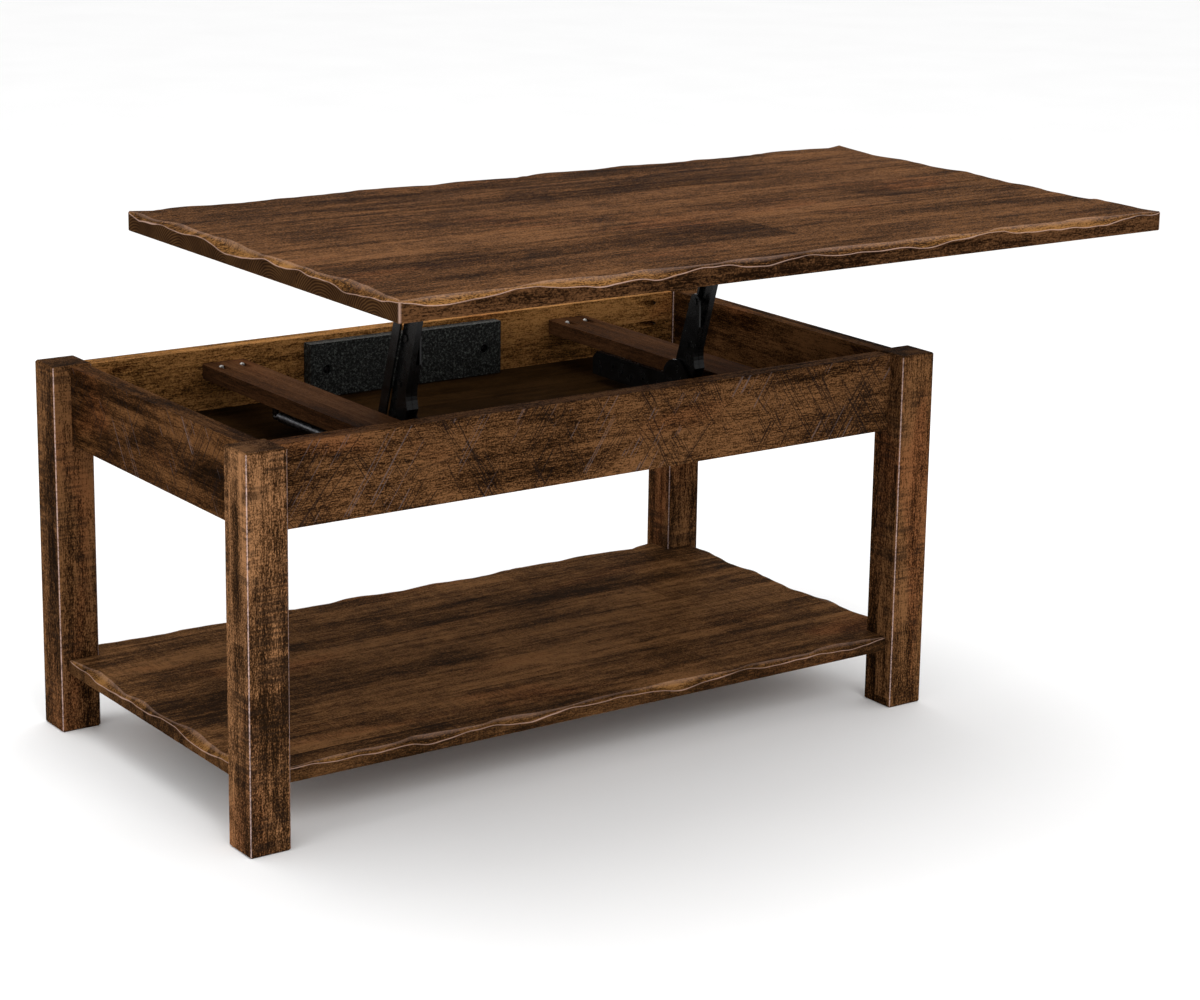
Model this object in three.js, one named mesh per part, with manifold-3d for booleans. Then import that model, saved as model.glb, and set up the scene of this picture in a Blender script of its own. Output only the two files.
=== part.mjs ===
// Lift top coffee table: a four-legged wooden base with a shelf and a shallow box,
// and a live-edge top that two steel lift mechanisms raise and bring forward.
// Millimetres, +Z up, X along the table's length, the user sits at -Y.
// The top is modelled raised.
import * as THREE from 'three';
import { mergeVertices } from 'three/addons/utils/BufferGeometryUtils.js';
import Module from 'manifold-3d';

const wasm = await Module();
wasm.setup();

// ---------------------------------------------------------------------------
// Driving dimensions

// Legs and the base's overall size, measured across the legs
const baseLength = 1022;
const baseWidth = 562;
const legHeight = 485;
const legSize = 54;
const legEase = 2; // chamfer on a leg's edges

// Aprons
const apronHeight = 102;
const apronThickness = 25;
const apronTopDrop = 2; // aprons' tops below the legs' tops
const longApronInset = 26; // front and rear aprons' outer faces inside the legs' outer faces
const endApronInset = 24;

// Floor of the box, held in a groove in the aprons
const floorDepth = 81; // floor's top face below the aprons' tops
const floorThickness = 12;
const grooveDepth = 7;

// Shelf, notched round the legs
const shelfHeight = 97; // top face above the ground
const shelfThickness = 19;
const shelfLongInset = 13; // front and rear edges inside the legs' outer faces
const shelfEndInset = 12;

// Top
const topThickness = 23;
const topOverhang = 23; // past the legs' outer faces, all round
const topClosedGap = 2; // between the legs' tops and the closed top

// Live edge: a chamfer whose width and drop wander along the edge
const liveEdge = { run: 8, drop: 7.5, swing: 3.4, ripple: 1.7, longWave: 173, shortWave: 67, step: 22 };
const plainEase = 1; // chamfer where an edge is square

// Stretchers across the box, which carry the lift mechanisms
const stretcherCentre = 271; // from the table's middle
const stretcherWidth = 62;
const stretcherThickness = 19;
const stretcherDrop = 18; // stretchers' tops below the aprons' tops
const stretcherCorner = 5; // radius of a stretcher's corners in plan

// Counterweight on the rear apron
const weight = { length: 300, height: 73, thickness: 18, topDrop: 6.5, screwInset: 26 };
const weightScrew = { headRadius: 5, headHeight: 3.5, shankRadius: 2.5, reach: 15, boreRadius: 6.5, boreDepth: 5 };

// Pocket screws that hold the aprons to the legs and the stretchers to the aprons
const pocketAngle = THREE.MathUtils.degToRad(15);
const pocketRadius = 4.75;
const pocketSeat = 26; // along the screw, from the joint back to the screw's seat
const pocketLength = 60; // length of the cutting drill past the seat
const pocketRows = [13, 43]; // below the aprons' tops
const pocketSpread = 15; // each side of a stretcher's middle
const screw = { headRadius: 4.2, headHeight: 2.5, shankRadius: 2.1, reach: 14 };

// Lift linkage: what the top does between closed and raised, and the arms' lean when raised
const liftHeight = 217;
const liftReach = 347;
const armLean = THREE.MathUtils.degToRad(17); // past vertical, towards the user
const pivotBehindApron = 112; // main pivot behind the front apron's inner face
const pivotAboveFloor = 25;
const linkSpacing = 21; // second link's pivots behind the main pivots

// Lift mechanism sheet metal
const sheet = 2.5;
const armSheet = 3;
const armHalfWidth = 14;
const linkHalfWidth = 8;
const flangeDepth = 5;
const webSetback = 4; // bracket's web inboard of the stretcher's edge
const linkGap = 2.4; // web to link
const rivetGap = 3.6; // link to arm, room for rivet heads
const cheekGap = 2.5; // arm's inner channel to the bracket's cheek
const shaftRadius = 5;
const pinRadius = 4;
const rivetHeight = 1.6;
const crank = { radius: 18, angle: THREE.MathUtils.degToRad(212), pinRadius: 3, halfWidth: 6 };

// Tension springs under the stretchers
const spring = { wire: 1.1, radius: 5.4, turns: 16, axisBelowStretcher: 17, outward: 13, rearBehindPivot: 182 };

// Clearances
const jointGap = 0.3; // between pieces that touch
const pinClearance = 0.3; // round a pin or shaft
const openPivotClearance = 0.8; // round the second link's upper pin, where the linkage is open

// ---------------------------------------------------------------------------
// Derived places

const halfLength = baseLength / 2;
const halfWidth = baseWidth / 2;
const legInnerX = halfLength - legSize;
const legInnerY = halfWidth - legSize;
const apronTop = legHeight - apronTopDrop;
const apronBottom = apronTop - apronHeight;
const longApronOuter = halfWidth - longApronInset;
const longApronInner = longApronOuter - apronThickness;
const endApronOuter = halfLength - endApronInset;
const endApronInner = endApronOuter - apronThickness;
const floorTop = apronTop - floorDepth;
const stretcherTop = apronTop - stretcherDrop;
const stretcherBottom = stretcherTop - stretcherThickness;

// Arms: their length and angles follow from the top's travel and the lean when raised
const travel = Math.hypot(liftHeight, liftReach);
const raisedAngle = Math.PI / 2 + armLean; // from +Y, turning up
const middleAngle = Math.atan2(liftHeight, -liftReach) - Math.PI / 2;
const armLength = travel / (2 * Math.sin(raisedAngle - middleAngle));
const pivotY = -longApronInner + pivotBehindApron;
const pivotZ = floorTop + pivotAboveFloor;
const upperPivotY = pivotY + armLength * Math.cos(raisedAngle);
const upperPivotZ = pivotZ + armLength * Math.sin(raisedAngle);
const topUnderside = legHeight + topClosedGap + liftHeight;

// Layers of the mechanism, as distances from the table's middle plane, going inboard
const webOuter = stretcherCentre - stretcherWidth / 2 - webSetback;
const webInner = webOuter - sheet;
const linkOuter = webInner - linkGap;
const linkInner = linkOuter - sheet;
const armOuter = linkInner - rivetGap;
const armInner = armOuter - armSheet;
const armFlangeEnd = armInner - flangeDepth;
const innerFlangeStart = armFlangeEnd - 2 * jointGap;
const innerPlateOuter = innerFlangeStart - flangeDepth;
const innerPlateInner = innerPlateOuter - sheet;
const cheekOuter = innerPlateInner - cheekGap;
const cheekInner = cheekOuter - sheet;

// Spring line and crank
const springX = stretcherCentre + spring.outward;
const springZ = stretcherBottom - spring.axisBelowStretcher;
const anchorY = pivotY + spring.rearBehindPivot;
const crankPinY = pivotY + crank.radius * Math.cos(raisedAngle + crank.angle);
const crankPinZ = pivotZ + crank.radius * Math.sin(raisedAngle + crank.angle);
const yokeHookY = crankPinY + 18;

// The origin is under the middle of the table as it stands with its top raised
const topFront = -halfWidth - topOverhang - liftReach;
const originShiftY = -(topFront + halfWidth) / 2;

// ---------------------------------------------------------------------------
// Materials

function finish(color, roughness, metalness) {
  return { color, roughness, metalness };
}
const stainedWood = finish(0x4a2a18, 0.45, 0);
const topWood = finish(0x3d2214, 0.4, 0);
const insideWood = finish(0x5a3620, 0.6, 0);
const blackSteel = finish(0x111214, 0.3, 0.6);
const screwSteel = finish(0xb9bcc0, 0.35, 0.9);
const springSteel = finish(0x4a4c50, 0.35, 0.9);
const wrinkleBlack = finish(0x16181a, 0.55, 0.2);

const table = new THREE.Group();
table.position.y = originShiftY;

function addPiece(name, geometry, look, parent = table) {
  const material = new THREE.MeshStandardMaterial(look);
  const mesh = new THREE.Mesh(geometry, material);
  mesh.name = name;
  parent.add(mesh);
  return mesh;
}

// ---------------------------------------------------------------------------
// Geometry helpers

function toSolid(geometry) {
  const bare = geometry.clone();
  bare.deleteAttribute('normal');
  bare.deleteAttribute('uv');
  const merged = mergeVertices(bare, 1e-4);
  const vertProperties = new Float32Array(merged.attributes.position.array);
  const triVerts = new Uint32Array(merged.index.array);
  return new wasm.Manifold(new wasm.Mesh({ numProp: 3, vertProperties, triVerts }));
}

function toGeometry(solid) {
  const mesh = solid.getMesh();
  const geometry = new THREE.BufferGeometry();
  geometry.setAttribute('position', new THREE.BufferAttribute(new Float32Array(mesh.vertProperties), 3));
  geometry.setIndex(new THREE.BufferAttribute(new Uint32Array(mesh.triVerts), 1));
  return geometry;
}

function join(geometries) {
  const solids = geometries.map(toSolid);
  return toGeometry(solids.reduce((whole, piece) => whole.add(piece)));
}

function cut(geometry, cutters) {
  const whole = toSolid(geometry);
  return toGeometry(cutters.map(toSolid).reduce((rest, cutter) => rest.subtract(cutter), whole));
}

// A box between two corners
function block(low, high) {
  const size = high.map((value, axis) => value - low[axis]);
  const geometry = new THREE.BoxGeometry(...size);
  geometry.translate(...low.map((value, axis) => value + size[axis] / 2));
  return geometry;
}

// A flat plate across X: the shape is drawn in (Y, Z)
function plateAcrossX(shape, xa, xb, curveSegments = 6) {
  const depth = Math.abs(xb - xa);
  const geometry = new THREE.ExtrudeGeometry(shape, { depth, bevelEnabled: false, curveSegments });
  const toYZ = new THREE.Matrix4().makeBasis(
    new THREE.Vector3(0, 1, 0),
    new THREE.Vector3(0, 0, 1),
    new THREE.Vector3(1, 0, 0),
  );
  geometry.applyMatrix4(toYZ);
  geometry.translate(Math.min(xa, xb), 0, 0);
  return geometry;
}

function rod(from, to, radius, segments = 12) {
  const start = new THREE.Vector3(...from);
  const end = new THREE.Vector3(...to);
  const geometry = new THREE.CylinderGeometry(radius, radius, start.distanceTo(end), segments);
  const direction = end.clone().sub(start).normalize();
  const turn = new THREE.Quaternion().setFromUnitVectors(new THREE.Vector3(0, 1, 0), direction);
  geometry.applyQuaternion(turn);
  geometry.translate(...start.add(end).multiplyScalar(0.5).toArray());
  return geometry;
}

function rodAcrossX(y, z, xa, xb, radius, segments = 16) {
  return rod([Math.min(xa, xb), y, z], [Math.max(xa, xb), y, z], radius, segments);
}

function polygon(points) {
  return new THREE.Shape(points.map(([x, y]) => new THREE.Vector2(x, y)));
}

// A bar with round ends, between two points of a plane
function roundBar(ya, za, yb, zb, halfWide) {
  const along = Math.atan2(zb - za, yb - ya);
  const shape = new THREE.Shape();
  shape.absarc(yb, zb, halfWide, along - Math.PI / 2, along + Math.PI / 2, false);
  shape.absarc(ya, za, halfWide, along + Math.PI / 2, along + 1.5 * Math.PI, false);
  return shape;
}

// A screw along +Y: the head's seat is at the origin, the shank points to -Y
function screwGeometry(kind, shankLength, segments = 8) {
  const profile = [
    [0, -shankLength],
    [kind.shankRadius * 0.4, -shankLength + kind.shankRadius],
    [kind.shankRadius, -shankLength + 3 * kind.shankRadius],
    [kind.shankRadius, 0],
    [kind.headRadius, 0],
    [kind.headRadius, kind.headHeight * 0.4],
    [kind.headRadius * 0.6, kind.headHeight],
    [0, kind.headHeight],
  ];
  return new THREE.LatheGeometry(profile.map(([x, y]) => new THREE.Vector2(x, y)), segments);
}

function placedScrew(kind, shankLength, seat, headDirection) {
  const geometry = screwGeometry(kind, shankLength);
  const turn = new THREE.Quaternion().setFromUnitVectors(new THREE.Vector3(0, 1, 0), headDirection);
  geometry.applyQuaternion(turn);
  geometry.translate(seat.x, seat.y, seat.z);
  return geometry;
}

// ---------------------------------------------------------------------------
// Pocket joints

// One pocket screw. edge is the point where the opened face meets the joint, toMate points
// into the piece it is screwed to, inward points into the thickness from the opened face.
function pocketJoint(edge, toMate, inward, depth) {
  const start = new THREE.Vector3(...edge).addScaledVector(inward, depth);
  const bore = toMate.clone().multiplyScalar(Math.cos(pocketAngle)).addScaledVector(inward, Math.sin(pocketAngle));
  const at = (distance) => start.clone().addScaledVector(bore, distance);
  const seat = at(-pocketSeat);
  const pilotRadius = screw.shankRadius + pinClearance;
  const pocket = rod(at(-pocketSeat - pocketLength).toArray(), seat.toArray(), pocketRadius, 14);
  const pilot = rod(at(-pocketSeat - 1).toArray(), at(screw.reach + 1).toArray(), pilotRadius, 8);
  const seated = at(-pocketSeat - jointGap);
  const shank = pocketSeat + jointGap + screw.reach;
  return { pocket, pilot, screw: placedScrew(screw, shank, seated, bore.clone().negate()) };
}

const axisX = new THREE.Vector3(1, 0, 0);
const axisY = new THREE.Vector3(0, 1, 0);
const axisZ = new THREE.Vector3(0, 0, 1);
const sides = [
  { word: 'left', sign: -1 },
  { word: 'right', sign: 1 },
];
const ends = [
  { word: 'front', sign: -1 },
  { word: 'rear', sign: 1 },
];
const rowWords = ['upper', 'lower'];

// Screws of one apron: name, the leg it enters and the joint itself
function apronJoints(apronWord) {
  const isLong = apronWord === 'front' || apronWord === 'rear';
  const apronSign = apronWord === 'front' || apronWord === 'left' ? -1 : 1;
  const mates = isLong ? sides : ends;
  const joints = [];
  for (const mate of mates) {
    pocketRows.forEach((row, index) => {
      const z = apronTop - row;
      const edge = isLong
        ? [mate.sign * legInnerX, apronSign * longApronInner, z]
        : [apronSign * endApronInner, mate.sign * legInnerY, z];
      const toMate = (isLong ? axisX : axisY).clone().multiplyScalar(mate.sign);
      const inward = (isLong ? axisY : axisX).clone().multiplyScalar(apronSign);
      joints.push({
        name: `pocket_screw_${apronWord}_apron_${mate.word}_${rowWords[index]}`,
        leg: isLong ? `${apronWord}_${mate.word}` : `${mate.word}_${apronWord}`,
        ...pocketJoint(edge, toMate, inward, apronThickness / 2),
      });
    });
  }
  return joints;
}

const apronWords = ['front', 'rear', 'left', 'right'];
const apronJointsByWord = Object.fromEntries(apronWords.map((word) => [word, apronJoints(word)]));
const allApronJoints = Object.values(apronJointsByWord).flat();

function stretcherJoints(side) {
  const joints = [];
  for (const end of ends) {
    for (const hand of sides) {
      const x = side.sign * stretcherCentre + hand.sign * pocketSpread;
      const edge = [x, end.sign * longApronInner, stretcherTop];
      const toMate = axisY.clone().multiplyScalar(end.sign);
      joints.push({
        name: `pocket_screw_${side.word}_stretcher_${end.word}_${hand.word}`,
        apron: end.word,
        ...pocketJoint(edge, toMate, axisZ.clone().negate(), stretcherThickness / 2),
      });
    }
  }
  return joints;
}

const stretcherJointsByWord = Object.fromEntries(sides.map((side) => [side.word, stretcherJoints(side)]));
const allStretcherJoints = Object.values(stretcherJointsByWord).flat();

// ---------------------------------------------------------------------------
// Wooden base

function squareOutline(low, high, corner) {
  return polygon([
    [low[0] + corner, low[1]],
    [high[0] - corner, low[1]],
    [high[0], low[1] + corner],
    [high[0], high[1] - corner],
    [high[0] - corner, high[1]],
    [low[0] + corner, high[1]],
    [low[0], high[1] - corner],
    [low[0], low[1] + corner],
  ]);
}

function legGeometry(sx, sy) {
  const reach = legSize / 2 - legEase;
  const outline = squareOutline([-reach, -reach], [reach, reach], legEase / 2);
  const bevel = { bevelEnabled: true, bevelSegments: 1, bevelSize: legEase, bevelThickness: legEase };
  const geometry = new THREE.ExtrudeGeometry(outline, { depth: legHeight - 2 * legEase, ...bevel });
  geometry.translate(sx * (halfLength - legSize / 2), sy * (halfWidth - legSize / 2), legEase);
  return geometry;
}

for (const end of ends) {
  for (const side of sides) {
    const word = `${end.word}_${side.word}`;
    const pilots = allApronJoints.filter((joint) => joint.leg === word).map((joint) => joint.pilot);
    addPiece(`leg_${word}`, cut(legGeometry(side.sign, end.sign), pilots), stainedWood);
  }
}

// The groove that holds the floor, as a slab with play all round
function floorSlab(play) {
  const x = endApronInner + grooveDepth + play;
  const y = longApronInner + grooveDepth + play;
  return block([-x, -y, floorTop - floorThickness - play], [x, y, floorTop + play]);
}

function weightScrewPlaces() {
  const z = apronTop - weight.topDrop - weight.height / 2;
  return sides.map((side) => ({
    word: side.word,
    x: side.sign * (weight.length / 2 - weight.screwInset),
    z,
  }));
}
const weightFront = longApronInner - jointGap - weight.thickness;
const weightSeat = weightFront + weightScrew.boreDepth;
const weightShank = longApronInner + weightScrew.reach - weightSeat;

function weightPilot(place, from) {
  const end = longApronInner + weightScrew.reach + 1;
  return rod([place.x, from, place.z], [place.x, end, place.z], weightScrew.shankRadius + pinClearance);
}

function longApron(word, sign) {
  const x = legInnerX - jointGap;
  const ya = sign * longApronOuter;
  const yb = sign * longApronInner;
  const board = block([-x, Math.min(ya, yb), apronBottom], [x, Math.max(ya, yb), apronTop]);
  const cutters = [floorSlab(jointGap)];
  apronJointsByWord[word].forEach((joint) => cutters.push(joint.pocket, joint.pilot));
  allStretcherJoints.filter((joint) => joint.apron === word).forEach((joint) => cutters.push(joint.pilot));
  if (word === 'rear') {
    weightScrewPlaces().forEach((place) => cutters.push(weightPilot(place, longApronInner - 1)));
  }
  return cut(board, cutters);
}

// Both end aprons are the same board; the right one is turned half round
function endApron(sign) {
  const y = legInnerY - jointGap;
  const board = block([-endApronOuter, -y, apronBottom], [-endApronInner, y, apronTop]);
  const cutters = [floorSlab(jointGap)];
  apronJointsByWord.left.forEach((joint) => cutters.push(joint.pocket, joint.pilot));
  const geometry = cut(board, cutters);
  geometry.rotateZ(sign < 0 ? 0 : Math.PI);
  return geometry;
}

ends.forEach((end) => addPiece(`apron_${end.word}`, longApron(end.word, end.sign), stainedWood));
sides.forEach((side) => addPiece(`apron_${side.word}`, endApron(side.sign), stainedWood));
allApronJoints.forEach((joint) => addPiece(joint.name, joint.screw, screwSteel));

// A leg's square as a cutter, with play round it
function legCutter(sx, sy, low, high) {
  const xa = sx * (legInnerX - jointGap);
  const xb = sx * (halfLength + 1);
  const ya = sy * (legInnerY - jointGap);
  const yb = sy * (halfWidth + 1);
  return block([Math.min(xa, xb), Math.min(ya, yb), low], [Math.max(xa, xb), Math.max(ya, yb), high]);
}

function boxFloor() {
  const cutters = [];
  for (const side of sides) {
    for (const end of ends) {
      cutters.push(legCutter(side.sign, end.sign, floorTop - 2 * floorThickness, floorTop + floorThickness));
    }
  }
  return cut(floorSlab(0), cutters);
}
addPiece('box_floor', boxFloor(), insideWood);

function stretcherGeometry(side) {
  const centre = side.sign * stretcherCentre;
  const x = stretcherWidth / 2;
  const y = longApronInner - jointGap;
  const outline = new THREE.Shape();
  const reachX = x - stretcherCorner;
  const reachY = y - stretcherCorner;
  outline.absarc(reachX, reachY, stretcherCorner, 0, Math.PI / 2, false);
  outline.absarc(-reachX, reachY, stretcherCorner, Math.PI / 2, Math.PI, false);
  outline.absarc(-reachX, -reachY, stretcherCorner, Math.PI, 1.5 * Math.PI, false);
  outline.absarc(reachX, -reachY, stretcherCorner, 1.5 * Math.PI, 2 * Math.PI, false);
  const options = { depth: stretcherThickness, bevelEnabled: false, curveSegments: 3 };
  const board = new THREE.ExtrudeGeometry(outline, options);
  board.translate(centre, 0, stretcherBottom);
  const cutters = stretcherJointsByWord[side.word].flatMap((joint) => [joint.pocket, joint.pilot]);
  return cut(board, cutters);
}
sides.forEach((side) => addPiece(`stretcher_${side.word}`, stretcherGeometry(side), insideWood));
allStretcherJoints.forEach((joint) => addPiece(joint.name, joint.screw, screwSteel));

// Counterweight slab with two counterbored screws
function counterweight() {
  const top = apronTop - weight.topDrop;
  const x = weight.length / 2;
  const slab = block([-x, weightFront, top - weight.height], [x, weightFront + weight.thickness, top]);
  const cutters = [];
  for (const place of weightScrewPlaces()) {
    const mouth = [place.x, weightFront - 1, place.z];
    const seat = [place.x, weightSeat, place.z];
    cutters.push(rod(mouth, seat, weightScrew.boreRadius, 16), weightPilot(place, weightSeat - jointGap));
  }
  return cut(slab, cutters);
}
addPiece('counterweight', counterweight(), wrinkleBlack);
for (const place of weightScrewPlaces()) {
  const seat = new THREE.Vector3(place.x, weightSeat - jointGap, place.z);
  const geometry = placedScrew(weightScrew, weightShank, seat, axisY.clone().negate());
  addPiece(`counterweight_screw_${place.word}`, geometry, blackSteel);
}

// ---------------------------------------------------------------------------
// Slabs with a live edge

// How far the chamfer goes at a distance along the outline
function liveEdgeDepth(distance) {
  const longSwing = Math.sin((2 * Math.PI * distance) / liveEdge.longWave);
  const shortSwing = Math.sin((2 * Math.PI * distance) / liveEdge.shortWave + longSwing);
  return liveEdge.swing * longSwing + liveEdge.ripple * shortSwing;
}

// corners is a counter-clockwise outline with square turns; live tells for each corner
// whether the edge that leaves it is a live edge
function liveEdgeSlab(corners, live, thickness) {
  const count = corners.length;
  const points = [];
  let walked = 0;
  for (let index = 0; index < count; index += 1) {
    const [ax, ay] = corners[index];
    const [bx, by] = corners[(index + 1) % count];
    const [px, py] = corners[(index + count - 1) % count];
    const length = Math.hypot(bx - ax, by - ay);
    const back = Math.hypot(ax - px, ay - py);
    const inward = [-(by - ay) / length, (bx - ax) / length];
    const inwardBefore = [-(ay - py) / back, (ax - px) / back];
    const edgeIsLive = live[index];
    const steps = edgeIsLive ? Math.round(length / liveEdge.step) : 1;
    for (let step = 0; step < steps; step += 1) {
      const along = (length * step) / steps;
      const isCorner = step === 0;
      const isLive = edgeIsLive && (!isCorner || live[(index + count - 1) % count]);
      const swing = liveEdgeDepth(walked + along);
      const run = isLive ? liveEdge.run + swing : plainEase;
      const drop = isLive ? liveEdge.drop + swing : plainEase;
      const normal = isCorner ? [inward[0] + inwardBefore[0], inward[1] + inwardBefore[1]] : inward;
      points.push({
        x: ax + ((bx - ax) * step) / steps,
        y: ay + ((by - ay) * step) / steps,
        insetX: normal[0] * run,
        insetY: normal[1] * run,
        drop,
      });
    }
    walked += length;
  }
  const shape = polygon(points.map((point) => [point.x, point.y]));
  const geometry = new THREE.ExtrudeGeometry(shape, { depth: thickness, steps: 2, bevelEnabled: false });
  const key = (x, y) => `${x.toFixed(2)},${y.toFixed(2)}`;
  const byPlace = new Map(points.map((point) => [key(point.x, point.y), point]));
  const position = geometry.attributes.position;
  for (let index = 0; index < position.count; index += 1) {
    const point = byPlace.get(key(position.getX(index), position.getY(index)));
    const z = position.getZ(index);
    if (z > thickness * 0.75) {
      position.setXYZ(index, point.x + point.insetX, point.y + point.insetY, thickness);
    } else if (z > thickness * 0.25) {
      position.setZ(index, thickness - point.drop);
    }
  }
  return geometry;
}

function shelfGeometry() {
  const x = halfLength - shelfEndInset;
  const y = halfWidth - shelfLongInset;
  const notchX = legInnerX - jointGap;
  const notchY = legInnerY - jointGap;
  const corners = [
    [-notchX, -y],
    [notchX, -y],
    [notchX, -notchY],
    [x, -notchY],
    [x, notchY],
    [notchX, notchY],
    [notchX, y],
    [-notchX, y],
    [-notchX, notchY],
    [-x, notchY],
    [-x, -notchY],
    [-notchX, -notchY],
  ];
  const live = [true, false, false, true, false, false, true, false, false, true, false, false];
  const geometry = liveEdgeSlab(corners, live, shelfThickness);
  geometry.translate(0, 0, shelfHeight - shelfThickness);
  return geometry;
}
addPiece('shelf', shelfGeometry(), stainedWood);

// ---------------------------------------------------------------------------
// Lift mechanism. inner and outer are distances from the middle plane; the side's sign
// puts them on the left or the right.

const armHoles = (side, y, z, inner, outer, radius) =>
  rodAcrossX(y, z, side.sign * (inner - 1), side.sign * (outer + 1), radius);

// Bracket under a stretcher: a web with a top flange, a U at the main pivot and a spring lug
const bracketFront = 36; // bracket's ends from the main pivot
const bracketRear = 226;

function baseBracket(side) {
  const x = (value) => side.sign * value;
  const webHeight = 33;
  const heelCut = 9;
  const toeCut = 14;
  const floorClearance = 4;
  const dipLength = 58;
  const dipSlope = 12;
  const cheekLength = 46;
  const cheekBelowLegTop = 5;
  const cheekRadius = 27;
  const cheekForward = 3;
  const lugHalfWidth = 6;
  const lugCut = 3;
  const narrowFlange = 20;
  const flangePastSpring = 8;
  const top = stretcherBottom - jointGap;
  const bottom = top - webHeight;
  const dipBottom = floorTop + floorClearance;
  const rear = pivotY + bracketRear;
  const front = pivotY - bracketFront;
  const web = polygon([
    [rear, bottom],
    [rear, top - heelCut],
    [rear - heelCut, top],
    [front, top],
    [front, dipBottom + toeCut],
    [front + toeCut, dipBottom],
    [pivotY + dipLength, dipBottom],
    [pivotY + dipLength + dipSlope, bottom],
  ]);
  const cheekTop = legHeight - cheekBelowLegTop;
  const cheekMiddle = pivotY - cheekForward;
  const cheek = new THREE.Shape();
  cheek.moveTo(front, dipBottom);
  cheek.lineTo(pivotY + cheekLength, dipBottom);
  cheek.lineTo(cheekMiddle + cheekRadius, cheekTop - cheekRadius);
  cheek.absarc(cheekMiddle, cheekTop - cheekRadius, cheekRadius, 0, Math.PI, false);
  const lugLow = springZ - lugHalfWidth;
  const lug = polygon([
    [anchorY - lugHalfWidth, top - sheet / 2],
    [anchorY - lugHalfWidth, lugLow + lugCut],
    [anchorY - lugCut, lugLow],
    [anchorY + lugCut, lugLow],
    [anchorY + lugHalfWidth, lugLow + lugCut],
    [anchorY + lugHalfWidth, top - sheet / 2],
  ]);
  const flangeLow = top - sheet;
  const narrow = [x(webInner), x(webInner + narrowFlange)];
  const wide = [x(webInner), x(springX + flangePastSpring)];
  const pieces = [
    plateAcrossX(web, x(webInner), x(webOuter)),
    block([Math.min(...narrow), front, flangeLow], [Math.max(...narrow), rear - heelCut, top]),
    block([Math.min(...wide), front, flangeLow], [Math.max(...wide), anchorY + lugHalfWidth, top]),
    block(
      [Math.min(x(cheekInner), x(webOuter)), front + toeCut, dipBottom],
      [Math.max(x(cheekInner), x(webOuter)), pivotY + cheekLength, dipBottom + sheet],
    ),
    plateAcrossX(cheek, x(cheekInner), x(cheekOuter)),
    plateAcrossX(lug, x(springX - sheet / 2), x(springX + sheet / 2)),
    rodAcrossX(pivotY + linkSpacing, pivotZ, x(webInner + sheet / 2), x(linkInner - 0.4), pinRadius),
  ];
  const rivets = [
    [rear - 16, bottom + 9, 4],
    [rear - 46, bottom + 19, 3],
    [rear - 67, bottom + 15, 3],
    [rear - 88, bottom + 13, 3],
    [rear - 114, bottom + 17, 4],
  ];
  for (const [y, z, radius] of rivets) {
    pieces.push(rodAcrossX(y, z, x(webInner + sheet / 2), x(webInner - rivetHeight), radius, 10));
  }
  const shaftHole = shaftRadius + pinClearance;
  const cutters = [
    armHoles(side, pivotY, pivotZ, cheekInner, webOuter, shaftHole),
    armHoles(side, anchorY, springZ, springX - sheet, springX + sheet, spring.wire + pinClearance),
  ];
  return cut(join(pieces), cutters);
}

// Arms are drawn lying along +Y from the main pivot, with their front edge up
const flareStart = 84;
const flareEnd = 56;
const flareRise = 10;

function armOutline(length) {
  const shape = new THREE.Shape();
  shape.moveTo(0, -armHalfWidth);
  shape.lineTo(length, -armHalfWidth);
  shape.absarc(length, 0, armHalfWidth, -Math.PI / 2, Math.PI / 2, false);
  shape.lineTo(flareStart, armHalfWidth);
  shape.quadraticCurveTo((flareStart + flareEnd) / 2, armHalfWidth, flareEnd, armHalfWidth + flareRise);
  shape.lineTo(flareEnd - 14, armHalfWidth + flareRise - 2);
  shape.absarc(0, 0, armHalfWidth, (2 * Math.PI) / 3, 1.5 * Math.PI, false);
  return shape;
}

function frontFlange(length, thickness) {
  const shape = new THREE.Shape();
  const middle = (flareStart + flareEnd) / 2;
  shape.moveTo(length, armHalfWidth);
  shape.lineTo(flareStart, armHalfWidth);
  shape.quadraticCurveTo(middle, armHalfWidth, flareEnd, armHalfWidth + flareRise);
  shape.lineTo(flareEnd, armHalfWidth + flareRise - thickness);
  shape.quadraticCurveTo(middle, armHalfWidth - thickness, flareStart, armHalfWidth - thickness);
  shape.lineTo(length, armHalfWidth - thickness);
  return shape;
}

const armRivets = [
  [140, -5, 5],
  [79, -1, 4],
];

function mainArm(side) {
  const x = (value) => side.sign * value;
  const lipDepth = 5;
  const lip = polygon([
    [44, -armHalfWidth],
    [armLength - 60, -armHalfWidth],
    [armLength - 60, -armHalfWidth + armSheet],
    [44, -armHalfWidth + armSheet],
  ]);
  const pieces = [
    plateAcrossX(armOutline(armLength), x(armInner), x(armOuter)),
    plateAcrossX(frontFlange(armLength - 40, armSheet), x(armFlangeEnd), x(armInner + armSheet / 2)),
    plateAcrossX(lip, x(armInner - lipDepth), x(armInner + armSheet / 2)),
  ];
  for (const [s, n, radius] of armRivets) {
    pieces.push(rodAcrossX(s, n, x(armOuter - armSheet / 2), x(armOuter + rivetHeight), radius, 10));
  }
  const cutters = [
    armHoles(side, 0, 0, armInner, armOuter, shaftRadius + pinClearance),
    armHoles(side, armLength, 0, armInner, armOuter, pinRadius + pinClearance),
  ];
  return cut(join(pieces), cutters);
}

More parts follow.
